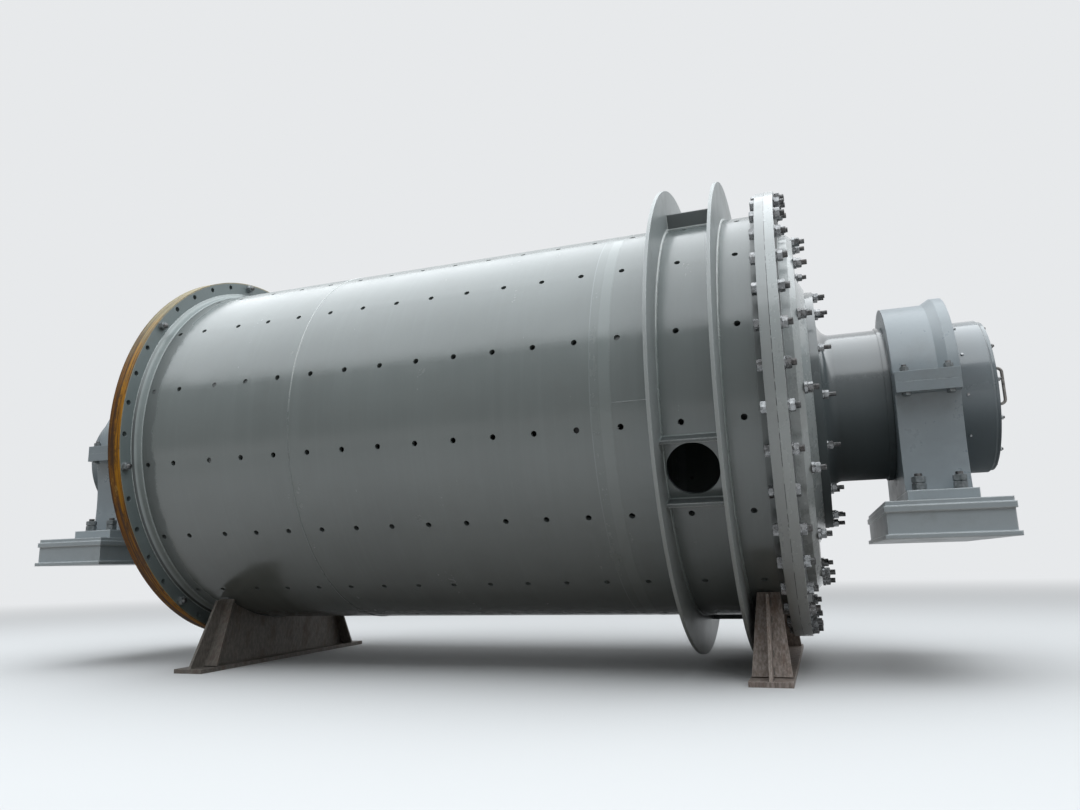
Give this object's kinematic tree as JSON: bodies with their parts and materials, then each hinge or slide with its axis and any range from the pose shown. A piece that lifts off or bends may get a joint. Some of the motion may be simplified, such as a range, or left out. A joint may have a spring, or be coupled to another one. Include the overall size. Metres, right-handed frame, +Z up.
{
  "type": "rod mill",
  "caption": "Horizontal rod mill: bolted steel drum on trunnions in split bearings, ringed discharge ports at one end, shown on two transport cradles.",
  "frame": {"origin": "middle of the mill's length and width, at floor level under the cradles", "axes": "+X along the drum axis from the feed end to the discharge end, +Z up"},
  "size_m": [8.553, 3.886, 3.966],
  "materials": {
    "shell_paint": "satin grey paint",
    "flange_paint": "satin grey paint",
    "machined_rim": "machined steel with a brown rust film on its rim",
    "cast_paint": "satin blue-grey paint on cast steel",
    "bearing_paint": "satin blue-grey paint",
    "bearing_metal": "machined bearing bronze",
    "cradle_steel": "bare, dark, rusty steel plate"
  },
  "bodies": {
    "supports": {"feed_bearing_bush": "bearing_metal", "feed_bearing_cap": "bearing_paint", "feed_bearing_housing": "bearing_paint", "feed_bearing_base": "bearing_paint", "feed_sole_frame": "bearing_paint", "discharge_bearing_bush": "bearing_metal", "discharge_bearing_cap": "bearing_paint", "discharge_bearing_housing": "bearing_paint", "discharge_bearing_base": "bearing_paint", "discharge_sole_frame": "bearing_paint", "feed_cradle_web": "cradle_steel", "feed_cradle_sides": "cradle_steel", "feed_cradle_ribs": "cradle_steel", "feed_cradle_base": "cradle_steel", "discharge_cradle_web": "cradle_steel", "discharge_cradle_sides": "cradle_steel", "discharge_cradle_ribs": "cradle_steel", "discharge_cradle_base": "cradle_steel"},
    "drum": {"shell_feed_course": "shell_paint", "shell_middle_course": "shell_paint", "shell_discharge_course": "shell_paint", "shell_feed_flange": "machined_rim", "shell_discharge_flange": "flange_paint", "feed_collar": "flange_paint", "discharge_ring_inner": "flange_paint", "discharge_ring_outer": "flange_paint", "discharge_cross_plates": "flange_paint", "feed_head": "cast_paint", "feed_trunnion": "cast_paint", "feed_seal_ring": "cast_paint", "feed_end_drum": "cast_paint", "feed_end_cover": "cast_paint", "feed_cover_handle": "cast_paint", "discharge_head": "cast_paint", "discharge_trunnion": "cast_paint", "discharge_seal_ring": "cast_paint", "discharge_end_drum": "cast_paint", "discharge_end_cover": "cast_paint", "discharge_cover_handle": "cast_paint"}
  },
  "joints": [
    {"name": "drum_spin", "type": "hinge", "parent": "supports", "child": "drum", "pos_m": [0, 0, 2.023], "axis": [1, 0, 0], "continuous": true}
  ]
}
